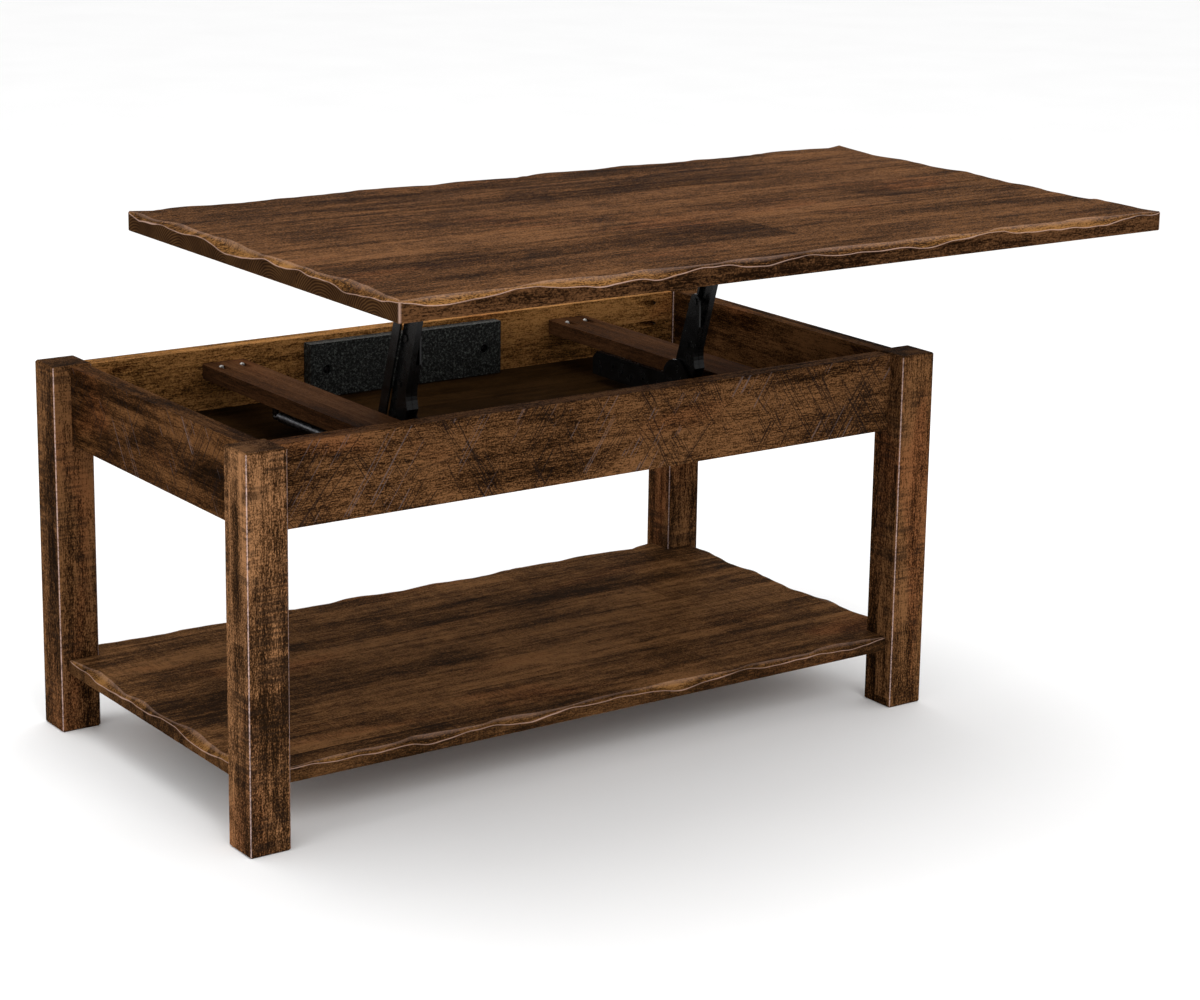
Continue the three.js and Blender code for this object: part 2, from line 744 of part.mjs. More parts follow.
function innerChannel(side) {
  const x = (value) => side.sign * value;
  const flangeLength = 112;
  const rearEdge = -18;
  const [topS, topN] = armRivets[0];
  const topRadius = 10;
  const outline = new THREE.Shape();
  outline.moveTo(30, rearEdge);
  outline.lineTo(topS - 6, topN - topRadius);
  outline.absarc(topS, topN, topRadius, -Math.PI / 2, Math.PI / 3, false);
  outline.lineTo(flangeLength, armHalfWidth);
  outline.lineTo(flareStart, armHalfWidth);
  outline.quadraticCurveTo((flareStart + flareEnd) / 2, armHalfWidth, flareEnd, armHalfWidth + flareRise);
  outline.lineTo(flareEnd - 14, armHalfWidth + flareRise - 2);
  outline.absarc(0, 0, armHalfWidth, (2 * Math.PI) / 3, 1.4 * Math.PI, false);
  const pieces = [
    plateAcrossX(outline, x(innerPlateInner), x(innerPlateOuter)),
    plateAcrossX(frontFlange(flangeLength, sheet), x(innerPlateOuter - sheet / 2), x(innerFlangeStart)),
  ];
  for (const [s, n, radius] of armRivets) {
    pieces.push(rodAcrossX(s, n, x(innerPlateInner - rivetHeight), x(innerPlateInner + sheet / 2), radius, 10));
    pieces.push(rodAcrossX(s, n, x(innerPlateInner + sheet / 2), x(armInner - jointGap), radius * 0.7, 8));
  }
  const cutters = [armHoles(side, 0, 0, innerPlateInner, innerPlateOuter, shaftRadius + pinClearance)];
  return cut(join(pieces), cutters);
}

// The shaft that turns with the arms, with the crank that the spring pulls
function liftShaft(side) {
  const x = (value) => side.sign * value;
  const crankOuter = springX - crank.pinRadius - 3;
  const crankInner = crankOuter - armSheet;
  const pinY = crank.radius * Math.cos(crank.angle);
  const pinZ = crank.radius * Math.sin(crank.angle);
  const headStart = cheekInner - jointGap;
  return join([
    rodAcrossX(0, 0, x(headStart - 2), x(crankOuter), shaftRadius),
    rodAcrossX(0, 0, x(headStart - 5), x(headStart), 8),
    plateAcrossX(roundBar(0, 0, pinY, pinZ, crank.halfWidth), x(crankInner), x(crankOuter)),
    rodAcrossX(pinY, pinZ, x(crankInner + 1), x(springX + sheet / 2 + 3), crank.pinRadius),
  ]);
}

function rearLink(side) {
  const x = (value) => side.sign * value;
  const bar = plateAcrossX(roundBar(0, 0, armLength, 0, linkHalfWidth), x(linkInner), x(linkOuter));
  return cut(bar, [
    armHoles(side, 0, 0, linkInner, linkOuter, pinRadius + pinClearance),
    armHoles(side, armLength, 0, linkInner, linkOuter, pinRadius + openPivotClearance),
  ]);
}

// Yoke that the crank pin pulls, hooked to the spring's front end
function springYoke(side) {
  const slot = crank.pinRadius + 1.1;
  const tine = 4;
  const low = floorTop + 2.5;
  const slotTop = crankPinZ + crank.pinRadius + 1.5;
  const high = springZ + 5;
  const outline = polygon([
    [crankPinY - slot - tine, low],
    [crankPinY - slot, low],
    [crankPinY - slot, slotTop],
    [crankPinY + slot, slotTop],
    [crankPinY + slot, low],
    [crankPinY + slot + tine, low],
    [crankPinY + slot + tine, springZ - 6],
    [yokeHookY + 5, springZ - 5],
    [yokeHookY + 5, high],
    [crankPinY - slot - tine + 4, high],
    [crankPinY - slot - tine, high - 4],
  ]);
  const plate = plateAcrossX(outline, side.sign * (springX - sheet / 2), side.sign * (springX + sheet / 2));
  return cut(plate, [
    armHoles(side, yokeHookY, springZ, springX - sheet, springX + sheet, spring.wire + pinClearance),
  ]);
}

// Tension spring with a hook through the lug and a hook through the yoke
function springGeometry(side) {
  const at = (outward, y, z) => new THREE.Vector3(side.sign * (springX + outward), y, springZ + z);
  const rearEnd = anchorY - 14;
  const frontEnd = yokeHookY + 14;
  const points = [at(-3.8, anchorY, 0), at(0, anchorY, 0), at(3.2, anchorY, 0), at(5, anchorY - 3, 0)];
  const stepsPerTurn = 7;
  const steps = spring.turns * stepsPerTurn;
  for (let step = 0; step <= steps; step += 1) {
    const angle = (2 * Math.PI * step) / stepsPerTurn;
    const y = THREE.MathUtils.lerp(rearEnd, frontEnd, step / steps);
    points.push(at(spring.radius * Math.cos(angle), y, spring.radius * Math.sin(angle)));
  }
  points.push(at(5, yokeHookY + 3, 0), at(3.2, yokeHookY, 0), at(0, yokeHookY, 0), at(-3.8, yokeHookY, 0));
  const path = new THREE.CatmullRomCurve3(points);
  const section = new THREE.Shape();
  section.absarc(0, 0, spring.wire, 0, 2 * Math.PI, false);
  const options = { steps: points.length + 6, extrudePath: path, curveSegments: 2 };
  return new THREE.ExtrudeGeometry(section, options);
}

// Bracket under the top: an ear between the arm's flanges, a flange and the two upper pins
const topFlangeInner = cheekInner - 6;
const topFlangeLow = topUnderside - jointGap - sheet;
const earOuter = armInner - 0.4;
const topBracketScrews = [-90, 45];
const topScrewX = (innerPlateInner + innerPlateOuter) / 2;

function topBracket(side) {
  const x = (value) => side.sign * value;
  const earRadius = 10.5;
  const linkY = upperPivotY + linkSpacing;
  const ear = new THREE.Shape();
  ear.moveTo(upperPivotY - 30, topFlangeLow + sheet / 2);
  ear.absarc(upperPivotY, upperPivotZ, earRadius, 1.2 * Math.PI, 1.5 * Math.PI, false);
  ear.absarc(linkY, upperPivotZ, earRadius, 1.5 * Math.PI, 1.8 * Math.PI, false);
  ear.lineTo(linkY + 36, topFlangeLow + sheet / 2);
  const flange = [x(topFlangeInner), x(earOuter)];
  const pieces = [
    plateAcrossX(ear, x(earOuter - sheet), x(earOuter)),
    block(
      [Math.min(...flange), upperPivotY - 110, topFlangeLow],
      [Math.max(...flange), upperPivotY + 62, topFlangeLow + sheet],
    ),
    rodAcrossX(upperPivotY, upperPivotZ, x(earOuter - sheet / 2), x(armOuter + rivetHeight), pinRadius),
    rodAcrossX(linkY, upperPivotZ, x(earOuter - sheet / 2), x(linkOuter + jointGap + 0.5), pinRadius),
    rodAcrossX(linkY, upperPivotZ, x(linkOuter + jointGap), x(linkOuter + jointGap + 1.2), pinRadius + 2.5),
  ];
  const cutters = topBracketScrews.map((offset) => {
    const y = upperPivotY + offset;
    const hole = screw.shankRadius + pinClearance;
    return rod([x(topScrewX), y, topFlangeLow - 1], [x(topScrewX), y, topUnderside + 1], hole, 10);
  });
  return cut(join(pieces), cutters);
}

const armsPivot = new THREE.Group();
armsPivot.position.set(0, pivotY, pivotZ);
armsPivot.rotation.x = raisedAngle;
table.add(armsPivot);
const linksPivot = new THREE.Group();
linksPivot.position.set(0, pivotY + linkSpacing, pivotZ);
linksPivot.rotation.x = raisedAngle;
table.add(linksPivot);

for (const side of sides) {
  addPiece(`base_bracket_${side.word}`, baseBracket(side), blackSteel);
  addPiece(`main_arm_${side.word}`, mainArm(side), blackSteel, armsPivot);
  addPiece(`arm_inner_channel_${side.word}`, innerChannel(side), blackSteel, armsPivot);
  addPiece(`lift_shaft_${side.word}`, liftShaft(side), blackSteel, armsPivot);
  addPiece(`rear_link_${side.word}`, rearLink(side), blackSteel, linksPivot);
  addPiece(`spring_yoke_${side.word}`, springYoke(side), blackSteel);
  addPiece(`lift_spring_${side.word}`, springGeometry(side), springSteel);
  addPiece(`top_bracket_${side.word}`, topBracket(side), blackSteel);
}

// ---------------------------------------------------------------------------
// Top, raised and forward

const topScrewReach = 13;

function topGeometry() {
  const x = halfLength + topOverhang;
  const front = topFront;
  const rear = halfWidth + topOverhang - liftReach;
  const corners = [
    [-x, front],
    [x, front],
    [x, rear],
    [-x, rear],
  ];
  const slab = liveEdgeSlab(corners, [true, true, true, true], topThickness);
  slab.translate(0, 0, topUnderside);
  const cutters = [];
  for (const side of sides) {
    for (const offset of topBracketScrews) {
      const place = [side.sign * topScrewX, upperPivotY + offset];
      const end = topUnderside + topScrewReach + 1;
      cutters.push(rod([...place, topUnderside - 1], [...place, end], screw.shankRadius + pinClearance, 10));
    }
  }
  return cut(slab, cutters);
}
addPiece('top', topGeometry(), topWood);

for (const side of sides) {
  topBracketScrews.forEach((offset, index) => {
    const seat = new THREE.Vector3(side.sign * topScrewX, upperPivotY + offset, topFlangeLow - jointGap);
    const shank = topUnderside + topScrewReach - seat.z;
    const geometry = placedScrew(screw, shank, seat, axisZ.clone().negate());
    addPiece(`top_bracket_screw_${side.word}_${ends[index].word}`, geometry, screwSteel);
  });
}

export default table;
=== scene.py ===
"""Looks for the lift top coffee table: stained wood, live edges, lift mechanisms and springs."""

import math

import bmesh
import bpy
from mathutils import Matrix, Vector


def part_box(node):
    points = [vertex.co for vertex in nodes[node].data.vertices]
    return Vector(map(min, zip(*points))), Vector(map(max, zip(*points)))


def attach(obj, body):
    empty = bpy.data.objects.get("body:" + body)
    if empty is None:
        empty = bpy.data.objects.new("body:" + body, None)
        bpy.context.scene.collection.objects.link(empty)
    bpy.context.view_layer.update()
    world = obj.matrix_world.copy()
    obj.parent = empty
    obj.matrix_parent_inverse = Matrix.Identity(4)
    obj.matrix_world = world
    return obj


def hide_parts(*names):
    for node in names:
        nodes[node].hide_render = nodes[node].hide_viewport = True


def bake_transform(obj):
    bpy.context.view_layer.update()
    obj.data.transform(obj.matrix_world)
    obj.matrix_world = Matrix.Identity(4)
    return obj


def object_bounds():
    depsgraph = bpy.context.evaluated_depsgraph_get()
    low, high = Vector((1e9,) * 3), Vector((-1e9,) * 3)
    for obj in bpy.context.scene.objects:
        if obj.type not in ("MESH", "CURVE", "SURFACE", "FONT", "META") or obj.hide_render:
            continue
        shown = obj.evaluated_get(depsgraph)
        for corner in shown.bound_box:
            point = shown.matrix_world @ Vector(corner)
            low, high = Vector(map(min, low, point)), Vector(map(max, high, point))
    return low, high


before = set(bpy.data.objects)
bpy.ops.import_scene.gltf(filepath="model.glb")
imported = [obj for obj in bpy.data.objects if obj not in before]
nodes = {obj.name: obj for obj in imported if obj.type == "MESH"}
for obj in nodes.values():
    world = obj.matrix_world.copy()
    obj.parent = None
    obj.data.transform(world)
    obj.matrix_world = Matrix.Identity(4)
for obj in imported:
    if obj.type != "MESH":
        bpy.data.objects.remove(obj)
cad_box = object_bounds()

MM = 0.001
SIDES = ("left", "right")
ENDS = ("front", "rear")
SIDE_SIGN = {"left": -1, "right": 1}


# ---------------------------------------------------------------------------
# Node helpers: each returns the output socket of what it adds


class Look:
    """One material and short calls that add nodes to it."""

    def __init__(self, name):
        self.material = bpy.data.materials.new(name)
        self.material.use_nodes = True
        self.nodes = self.material.node_tree.nodes
        self.links = self.material.node_tree.links
        self.shader = self.nodes["Principled BSDF"]
        self.coordinates = self.nodes.new("ShaderNodeTexCoord")

    def feed(self, socket, value):
        if isinstance(value, bpy.types.NodeSocket):
            self.links.new(value, socket)
        else:
            socket.default_value = value

    def set(self, socket_name, value):
        self.feed(self.shader.inputs[socket_name], value)

    def place(self, offset=(0, 0, 0), turn=(0, 0, 0), scale=(1, 1, 1), source=None):
        mapping = self.nodes.new("ShaderNodeMapping")
        self.feed(mapping.inputs["Vector"], source or self.coordinates.outputs["Object"])
        mapping.inputs["Location"].default_value = offset
        mapping.inputs["Rotation"].default_value = turn
        mapping.inputs["Scale"].default_value = scale
        return mapping.outputs["Vector"]

    def noise(self, vector, scale=1.0, detail=3.0, rough=0.5, warp=0.0):
        node = self.nodes.new("ShaderNodeTexNoise")
        self.feed(node.inputs["Vector"], vector)
        node.inputs["Scale"].default_value = scale
        node.inputs["Detail"].default_value = detail
        node.inputs["Roughness"].default_value = rough
        node.inputs["Distortion"].default_value = warp
        return node.outputs["Fac"]

    def random(self, vector):
        node = self.nodes.new("ShaderNodeTexWhiteNoise")
        node.noise_dimensions = "3D"
        self.feed(node.inputs["Vector"], vector)
        return node.outputs["Value"]

    def math(self, operation, first, second=0.0, third=0.0):
        node = self.nodes.new("ShaderNodeMath")
        node.operation = operation
        for socket, value in zip(node.inputs, (first, second, third)):
            self.feed(socket, value)
        return node.outputs["Value"]

    def span(self, value, low, high, to_low=0.0, to_high=1.0):
        node = self.nodes.new("ShaderNodeMapRange")
        node.interpolation_type = "SMOOTHSTEP"
        self.feed(node.inputs["Value"], value)
        node.inputs["From Min"].default_value = low
        node.inputs["From Max"].default_value = high
        node.inputs["To Min"].default_value = to_low
        node.inputs["To Max"].default_value = to_high
        return node.outputs["Result"]

    def split(self, vector):
        node = self.nodes.new("ShaderNodeSeparateXYZ")
        self.feed(node.inputs["Vector"], vector)
        return node.outputs["X"], node.outputs["Y"], node.outputs["Z"]

    def join(self, x, y, z):
        node = self.nodes.new("ShaderNodeCombineXYZ")
        for socket, value in zip(node.inputs, (x, y, z)):
            self.feed(socket, value)
        return node.outputs["Vector"]

    def ramp(self, value, stops):
        node = self.nodes.new("ShaderNodeValToRGB")
        self.feed(node.inputs["Fac"], value)
        elements = node.color_ramp.elements
        while len(elements) < len(stops):
            elements.new(0.5)
        for element, (position, color) in zip(elements, stops):
            element.position = position
            element.color = (*color, 1)
        return node.outputs["Color"]

    def mix(self, share, first, second, blend="MIX"):
        node = self.nodes.new("ShaderNodeMix")
        node.data_type = "RGBA"
        node.blend_type = blend
        node.clamp_result = False
        self.feed(node.inputs["Factor"], share)
        for socket_name, value in (("A", first), ("B", second)):
            socket = [s for s in node.inputs if s.name == socket_name and s.type == "RGBA"][0]
            self.feed(socket, (*value, 1) if isinstance(value, tuple) else value)
        return [s for s in node.outputs if s.type == "RGBA"][0]

    def bump(self, height, depth, strength=1.0):
        node = self.nodes.new("ShaderNodeBump")
        node.inputs["Strength"].default_value = strength
        node.inputs["Distance"].default_value = depth
        self.feed(node.inputs["Height"], height)
        return node.outputs["Normal"]

    def attribute(self, name):
        node = self.nodes.new("ShaderNodeAttribute")
        node.attribute_name = name
        return node.outputs["Fac"]


# ---------------------------------------------------------------------------
# Wood

TURN_TO_X = {"X": (0, 0, 0), "Y": (0, 0, -math.pi / 2), "Z": (0, math.pi / 2, 0)}

STAIN = {
    "dark": (0.008, 0.0036, 0.0014),
    "middle": (0.051, 0.0220, 0.0080),
    "light": (0.20, 0.092, 0.036),
}
FRONT_LEG_STAIN = {
    "dark": (0.014, 0.0068, 0.0028),
    "middle": (0.092, 0.0410, 0.0160),
    "light": (0.34, 0.165, 0.072),
}
SIDE_STAIN = {
    "dark": (0.006, 0.0026, 0.0009),
    "middle": (0.032, 0.0130, 0.0042),
    "light": (0.125, 0.054, 0.019),
}
TOP_STAIN = {
    "dark": (0.012, 0.0050, 0.0020),
    "middle": (0.060, 0.0262, 0.0102),
    "light": (0.165, 0.074, 0.030),
}
SHELF_STAIN = {
    "dark": (0.020, 0.0095, 0.0040),
    "middle": (0.090, 0.0405, 0.0148),
    "light": (0.225, 0.105, 0.040),
}
INSIDE_STAIN = {
    "dark": (0.040, 0.0175, 0.0050),
    "middle": (0.175, 0.0770, 0.0215),
    "light": (0.40, 0.19, 0.060),
}
STRETCHER_STAIN = {
    "dark": (0.020, 0.0090, 0.0045),
    "middle": (0.052, 0.0215, 0.0085),
    "light": (0.095, 0.042, 0.018),
}
FLOOR_STAIN = {
    "dark": (0.006, 0.0028, 0.0010),
    "middle": (0.0105, 0.0049, 0.0016),
    "light": (0.024, 0.0112, 0.0038),
}


# Turns the inside stain into the outside one, on a board that shows both
OUTSIDE_TINT = tuple(outer / inner for outer, inner in zip(STAIN["middle"], INSIDE_STAIN["middle"]))


def board_tones(look, grain, board_width, block_length):
    """A random tone for each glued-up board, and for each block along a board."""
    along, across, _ = look.split(grain)
    row = look.math("FLOOR", look.math("DIVIDE", across, board_width))
    row_random = look.random(look.join(row, 3.7, 1.3))
    block = look.math("FLOOR", look.math("ADD", look.math("DIVIDE", along, block_length), row_random))
    return look.random(look.join(row, block, 7.9)), row_random


# Moves each board's grain to its own place in the noise
SEED_SPREAD = (1.37, 0.71, 0.53)
GRAIN_DEPTH = 0.5 * MM
WOOD_ROUGHNESS = 0.5
# Close to 1, so the dull stain doesn't turn pale where it is seen edge on
WOOD_IOR = 1.02

GRAIN_STOPS = (0.22, 0.5, 0.88)
CHAMFER_STOPS = (0.2, 0.5, 0.8)
RING_STOPS = (0.1, 0.55, 0.95)

DEEP_STAIN = (0.004, 0.002, 0.001)
PLANER_MARK = (0.016, 0.009, 0.0055)
DARK_SCRATCH = (0.012, 0.0075, 0.006)
# Painted glint on scratch edges
SCRATCH_GLINT = (0.19, 0.155, 0.16)
# Painted highlight along the legs' long edges
LEG_ARRIS_HIGHLIGHT = (0.60, 0.43, 0.39)
# Painted highlight on the live edges' arrises
LIVE_ARRIS_HIGHLIGHT = (0.42, 0.27, 0.21)
HEARTWOOD_TINT = (1.2, 0.86, 0.8)
PORE_TINT = (0.25, 0.22, 0.2)
END_GRAIN_LIGHT = (0.17, 0.085, 0.03)
CHAMFER_STAIN = {
    "dark": (0.018, 0.009, 0.004),
    "middle": (0.115, 0.050, 0.0135),
    "light": (0.27, 0.130, 0.040),
}


def stain_ramp(look, level, stain, stops):
    return look.ramp(level, list(zip(stops, (stain["dark"], stain["middle"], stain["light"]))))


def grain_fields(look, grain):
    """The noises that a board's color, height and painted arris highlights are made from."""
    return {
        "broad": look.noise(look.place(scale=(3.0, 12, 12), source=grain), 1, 4, 0.55, 0.6),
        "streak": look.noise(look.place(scale=(3.5, 95, 95), source=grain), 1, 3, 0.6, 0.3),
        "fibre": look.noise(look.place(scale=(70, 700, 700), source=grain), 1, 2, 0.6),
        "grit": look.noise(look.place(scale=(380, 560, 560), source=grain), 1, 2, 0.7),
        "blotch": look.noise(look.place(scale=(10, 26, 26), source=grain), 1, 5, 0.62, 0.8),
    }


def grain_level(look, fields, tone, tone_swing, mottle, speckle):
    """How light the stain is, about 0.5 on average."""
    parts = (
        (fields["broad"], 1.15 * mottle),
        (fields["blotch"], 0.95 * mottle),
        (fields["streak"], 0.95),
        (fields["fibre"], 0.85 * speckle),
        (fields["grit"], 1.1 * speckle),
        (tone, tone_swing),
    )
    level = 0.5
    for source, weight in parts:
        level = look.math("MULTIPLY_ADD", look.math("SUBTRACT", source, 0.5), weight, level)
    return level


def wood(
    name,
    grain_axis,
    stain,
    seed,
    board_width,
    block_length,
    tone_swing=0.3,
    mottle=1.0,
    speckle=1.0,
    scratches=0.0,
    scratched_face=None,
    outer_tint=None,
    chatter=0.0,
    edge_highlight=0.0,
    end_grain=False,
    live_edge_colour_and_highlight=False,
):
    """Stained wood. Each strength that is 0 or off leaves its marks out."""
    look = Look(name)
    offset = tuple(seed * spread for spread in SEED_SPREAD)
    grain = look.place(offset=offset, turn=TURN_TO_X[grain_axis])
    tone, row_random = board_tones(look, grain, board_width, block_length)
    along, across, up = look.split(grain)
    shifted = look.join(look.math("ADD", along, look.math("MULTIPLY", row_random, 3.0)), across, up)
    fields = grain_fields(look, shifted)
    level = grain_level(look, fields, tone, tone_swing, mottle, speckle)
    color = stain_ramp(look, level, stain, GRAIN_STOPS)

    # Reddish heartwood patches
    patch = look.span(look.noise(look.place(scale=(2.6, 9, 9), source=grain), 1, 3, 0.5, 0.7), 0.56, 0.74)
    color = look.mix(look.math("MULTIPLY", patch, 0.5), color, HEARTWOOD_TINT, "MULTIPLY")

    # Short dark pores along the grain
    pore = look.span(look.noise(look.place(scale=(70, 1300, 1300), source=shifted), 1, 1, 0.5), 0.6, 0.7)
    color = look.mix(look.math("MULTIPLY", pore, 0.6), color, PORE_TINT, "MULTIPLY")

    height = look.math("MULTIPLY_ADD", fields["fibre"], 0.5, look.math("MULTIPLY", fields["grit"], 0.6))
    height = look.math("SUBTRACT", height, look.math("MULTIPLY", pore, 0.5))
    rough = look.math("MULTIPLY_ADD", look.math("SUBTRACT", fields["blotch"], 0.5), 0.25, WOOD_ROUGHNESS)

    if chatter:
        color, height = with_planer_marks(look, grain, color, height, chatter)
    if scratches:
        color, height = with_scratches(look, grain, color, height, scratches, scratched_face, outer_tint)
    if end_grain:
        color, height = with_end_grain(look, grain, stain, color, height, board_width, row_random)
    if edge_highlight:
        color = with_leg_ends_and_highlight(look, fields, color, edge_highlight)
    if live_edge_colour_and_highlight:
        color = with_live_edge_colour_and_highlight(look, fields, level, color)

    look.set("Base Color", color)
    look.set("Roughness", rough)
    look.set("IOR", WOOD_IOR)
    look.set("Normal", look.bump(height, GRAIN_DEPTH, 0.8))
    return look.material


def with_planer_marks(look, grain, color, height, chatter):
    marks = look.math("MULTIPLY", chatter_lines(look, grain), chatter)
    color = look.mix(marks, color, PLANER_MARK)
    return color, look.math("SUBTRACT", height, look.math("MULTIPLY", marks, 0.6))


def with_scratches(look, grain, color, height, scratches, scratched_face, outer_tint):
    """Scratches, and outer_tint if given, on the face that looks along scratched_face, an axis and a sign."""
    dark_lines, glint_lines = scratch_lines(look, grain)
    axis, sign = scratched_face
    normal = look.split(look.coordinates.outputs["Normal"])[axis]
    outward = look.math("MULTIPLY", normal, sign)
    facing = look.span(outward, 0.6, 0.7, 0.0, scratches)
    if outer_tint:
        color = look.mix(look.span(outward, 0.6, 0.7), color, outer_tint, "MULTIPLY")
    dark = look.math("MULTIPLY", dark_lines, facing)
    glint = look.math("MULTIPLY", glint_lines, facing)
    color = look.mix(dark, color, DARK_SCRATCH)
    # The pale lines are painted glints on the scratch edges
    color = look.mix(look.math("MULTIPLY", glint, 0.35), color, SCRATCH_GLINT)
    height = look.math("SUBTRACT", height, look.math("MULTIPLY", dark, 1.2))
    return color, look.math("ADD", height, look.math("MULTIPLY", glint, 0.6))


def with_leg_ends_and_highlight(look, fields, color, edge_highlight):
    """Dark sawn ends, and a painted highlight on the long edges."""
    across_x, across_y, _ = look.split(look.coordinates.outputs["Generated"])
    far_x = look.math("ABSOLUTE", look.math("SUBTRACT", across_x, 0.5))
    far_y = look.math("ABSOLUTE", look.math("SUBTRACT", across_y, 0.5))
    sawn_end = look.math("ABSOLUTE", look.split(look.coordinates.outputs["Normal"])[2])
    color = look.mix(look.span(sawn_end, 0.6, 0.8, 0.0, 0.5), color, DEEP_STAIN)
    corner = look.math("MULTIPLY", look.span(far_x, 0.465, 0.478), look.span(far_y, 0.465, 0.478))
    # Painted highlight on the long corners, broken up by the grit noise
    highlight = look.math("MULTIPLY", corner, look.span(fields["grit"], 0.35, 0.6, 0.35, 1.0))
    return look.mix(look.math("MULTIPLY", highlight, edge_highlight), color, LEG_ARRIS_HIGHLIGHT)


def with_live_edge_colour_and_highlight(look, fields, level, color):
    """Darker upright faces, golden chamfers and a painted highlight on the arris, from live_slab's
    attributes.
    """
    flatness = look.math("ABSOLUTE", look.split(look.coordinates.outputs["Normal"])[2])
    color = look.mix(look.span(flatness, 0.3, 0.8, 0.42, 0.0), color, DEEP_STAIN)
    golden = stain_ramp(look, level, CHAMFER_STAIN, CHAMFER_STOPS)
    gilt = look.math("MULTIPLY", look.attribute("chamfer"), look.span(fields["broad"], 0.38, 0.62, 0.25, 0.9))
    color = look.mix(gilt, color, golden)
    # Painted highlight along the arris
    highlight = look.math("MULTIPLY", look.attribute("arris_highlight"), look.span(fields["blotch"], 0.25, 0.6, 0.4, 1.0))
    return look.mix(highlight, color, LIVE_ARRIS_HIGHLIGHT)


def chatter_lines(look, grain):
    """Short dark planer marks across the grain, in patches."""
    coarse = look.noise(look.place(scale=(210, 9, 9), source=grain), 1, 2, 0.5, 0.3)
    fine = look.noise(look.place(scale=(560, 26, 26), source=grain), 1, 2, 0.6, 0.2)
    where = look.noise(look.place(offset=(4, 1, 2), scale=(11, 22, 22), source=grain), 1, 4, 0.65, 0.6)
    patchy = look.span(where, 0.45, 0.6)
    lines = look.math("MULTIPLY", look.span(coarse, 0.42, 0.6), patchy)
    return look.math("MAXIMUM", lines, look.math("MULTIPLY", look.span(fine, 0.54, 0.68), 0.5))


def scratch_lines(look, grain):
    """Crossing bands of straight saw scratches, dark ones, and a few pale lines that are painted glints on
    scratch edges.
    """
    layers = ((57, 11, 1.0), (-56, 23, 1.0), (50, 37, 0.8), (-63, 51, 0.9), (-49, 71, 0.7), (9, 63, 0.45))
    dark = 0.0
    for angle, seed, share in layers:
        turned = look.place(turn=(0, math.radians(angle), 0), source=grain)
        fine = look.place(offset=(seed, seed, seed), scale=(3.2, 1, 560), source=turned)
        coarse = look.place(offset=(2 * seed, seed, seed), scale=(9, 2, 30), source=turned)
        line = look.span(look.noise(fine, 1, 1, 0.6), 0.60, 0.635)
        where = look.span(look.noise(coarse, 1, 2, 0.6), 0.54, 0.60)
        dark = look.math("MAXIMUM", dark, look.math("MULTIPLY", look.math("MULTIPLY", line, where), share))
    turned = look.place(turn=(0, math.radians(57), 0), source=grain)
    glint = look.noise(look.place(offset=(5, 5, 9), scale=(4, 1, 380), source=turned), 1, 1, 0.5)
    where = look.noise(look.place(offset=(3, 8, 1), scale=(12, 2, 24), source=turned), 1, 2, 0.5)
    glint = look.math("MULTIPLY", look.span(glint, 0.63, 0.66), look.span(where, 0.52, 0.56))
    return dark, glint


RING_CENTRE_HEIGHT = 0.70
RING_DENSITY = 1900.0


def with_end_grain(look, grain, stain, color, height, board_width, row_random):
    """Growth-ring arcs on faces that look along the grain."""
    across = look.split(grain)[1]
    true_height = look.split(look.coordinates.outputs["Object"])[2]
    within = look.math("SUBTRACT", look.math("FRACT", look.math("DIVIDE", across, board_width)), 0.5)
    side = look.math("MULTIPLY", within, board_width)
    lower = look.math("MULTIPLY_ADD", row_random, -0.05, 0.012)
    rise = look.math("SUBTRACT", look.math("SUBTRACT", true_height, RING_CENTRE_HEIGHT), lower)
    squares = look.math("ADD", look.math("POWER", side, 2.0), look.math("POWER", rise, 2.0))
    radius = look.math("SQRT", squares)
    wobble = look.noise(look.place(scale=(1, 30, 30), source=grain), 1, 3, 0.5)
    phase = look.math("MULTIPLY_ADD", radius, RING_DENSITY, look.math("MULTIPLY", wobble, 14.0))
    rings = look.math("SINE", phase)
    ring_level = look.math("MULTIPLY_ADD", rings, 0.22, look.math("MULTIPLY_ADD", wobble, 0.6, 0.2))
    ends = stain_ramp(look, ring_level, dict(stain, light=END_GRAIN_LIGHT), RING_STOPS)
    normal_x = look.split(look.coordinates.outputs["Normal"])[0]
    facing = look.span(look.math("ABSOLUTE", normal_x), 0.7, 0.8)
    new_height = look.math("MULTIPLY_ADD", look.math("MULTIPLY", rings, facing), 0.3, height)
    return look.mix(facing, color, ends), new_height


# ---------------------------------------------------------------------------
# Metal


def black_steel():
    look = Look("black_painted_steel")
    spot = look.noise(look.place(scale=(60, 60, 60)), 1, 4, 0.6)
    dust = look.noise(look.place(scale=(900, 900, 900)), 1, 2, 0.5)
    color = look.ramp(spot, [(0.3, (0.002, 0.002, 0.002)), (0.7, (0.006, 0.006, 0.006))])
    look.set("Base Color", color)
    look.set("Roughness", look.math("MULTIPLY_ADD", spot, 0.2, 0.15))
    look.set("Specular IOR Level", 0.2)
    look.set("Normal", look.bump(look.math("MULTIPLY_ADD", dust, 0.35, spot), 0.08 * MM, 0.5))
    return look.material


